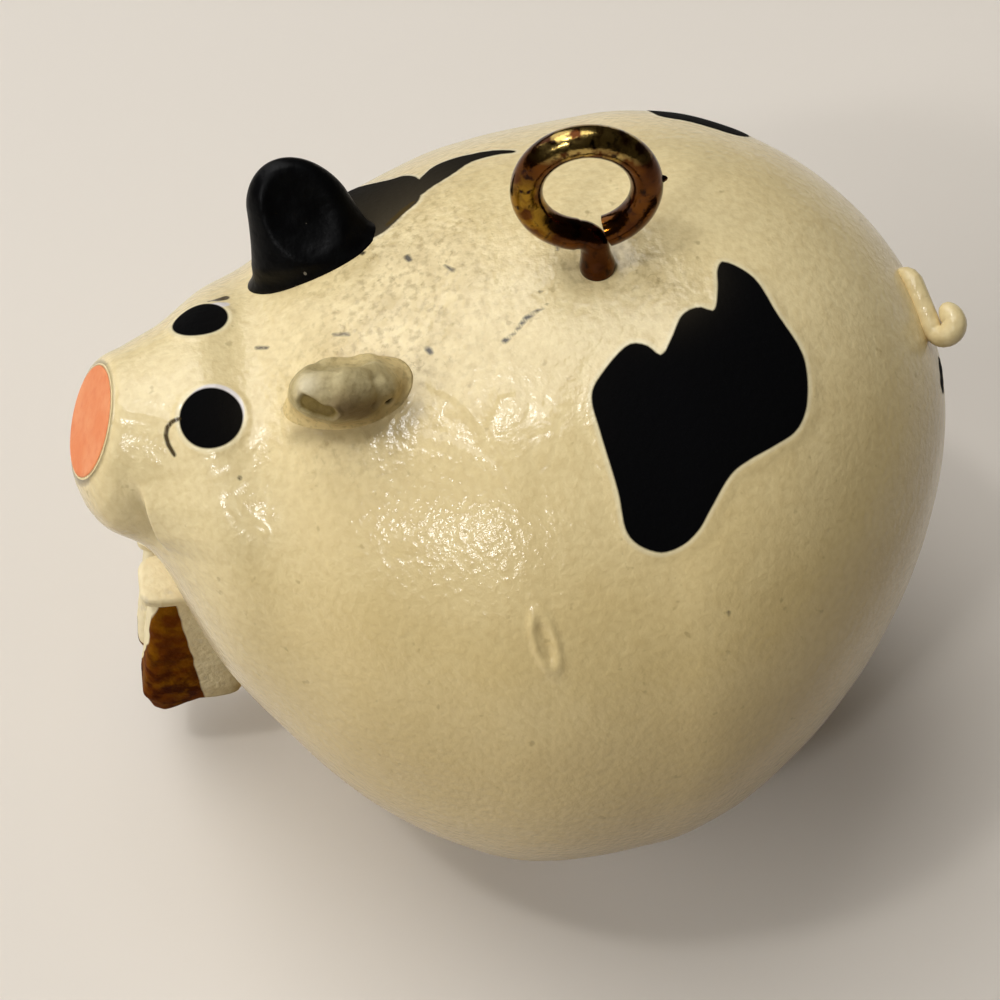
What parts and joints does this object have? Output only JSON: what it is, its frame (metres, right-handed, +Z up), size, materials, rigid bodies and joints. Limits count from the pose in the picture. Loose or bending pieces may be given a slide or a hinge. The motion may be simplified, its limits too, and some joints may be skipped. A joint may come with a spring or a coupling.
{
  "type": "pig ornament",
  "caption": "Round painted pig ornament with flat snout, stuck-on ears, legs and curled tail, and a brass screw eye in its back to hang it by.",
  "frame": {"origin": "on the table under the middle of the pig's length and width", "axes": "+Z up, -Y the way the pig faces, +X the pig's left side"},
  "size_m": [0.0418, 0.0474, 0.0474],
  "materials": {
    "cream_paint": "wood under a satin gloss coat of cream paint",
    "pink_paint": "wood under matt salmon pink paint",
    "black_paint": "wood under gloss black paint",
    "aged_brass": "tarnished drawn brass wire"
  },
  "bodies": {
    "pig": {"body": "cream_paint", "snout_pad": "pink_paint", "left_ear": "cream_paint", "right_ear": "black_paint", "front_left_leg": "cream_paint", "front_right_leg": "cream_paint", "hind_left_leg": "cream_paint", "hind_right_leg": "cream_paint", "tail": "cream_paint"},
    "screw_eye": {"screw_eye": "aged_brass"}
  },
  "joints": [
    {"name": "screw_eye_turn", "type": "hinge", "parent": "pig", "child": "screw_eye", "pos_m": [0.0003, 0.00354, 0.03892], "axis": [-0.1573, -0.1657, 0.9735], "range_deg": [-180, 180]}
  ]
}
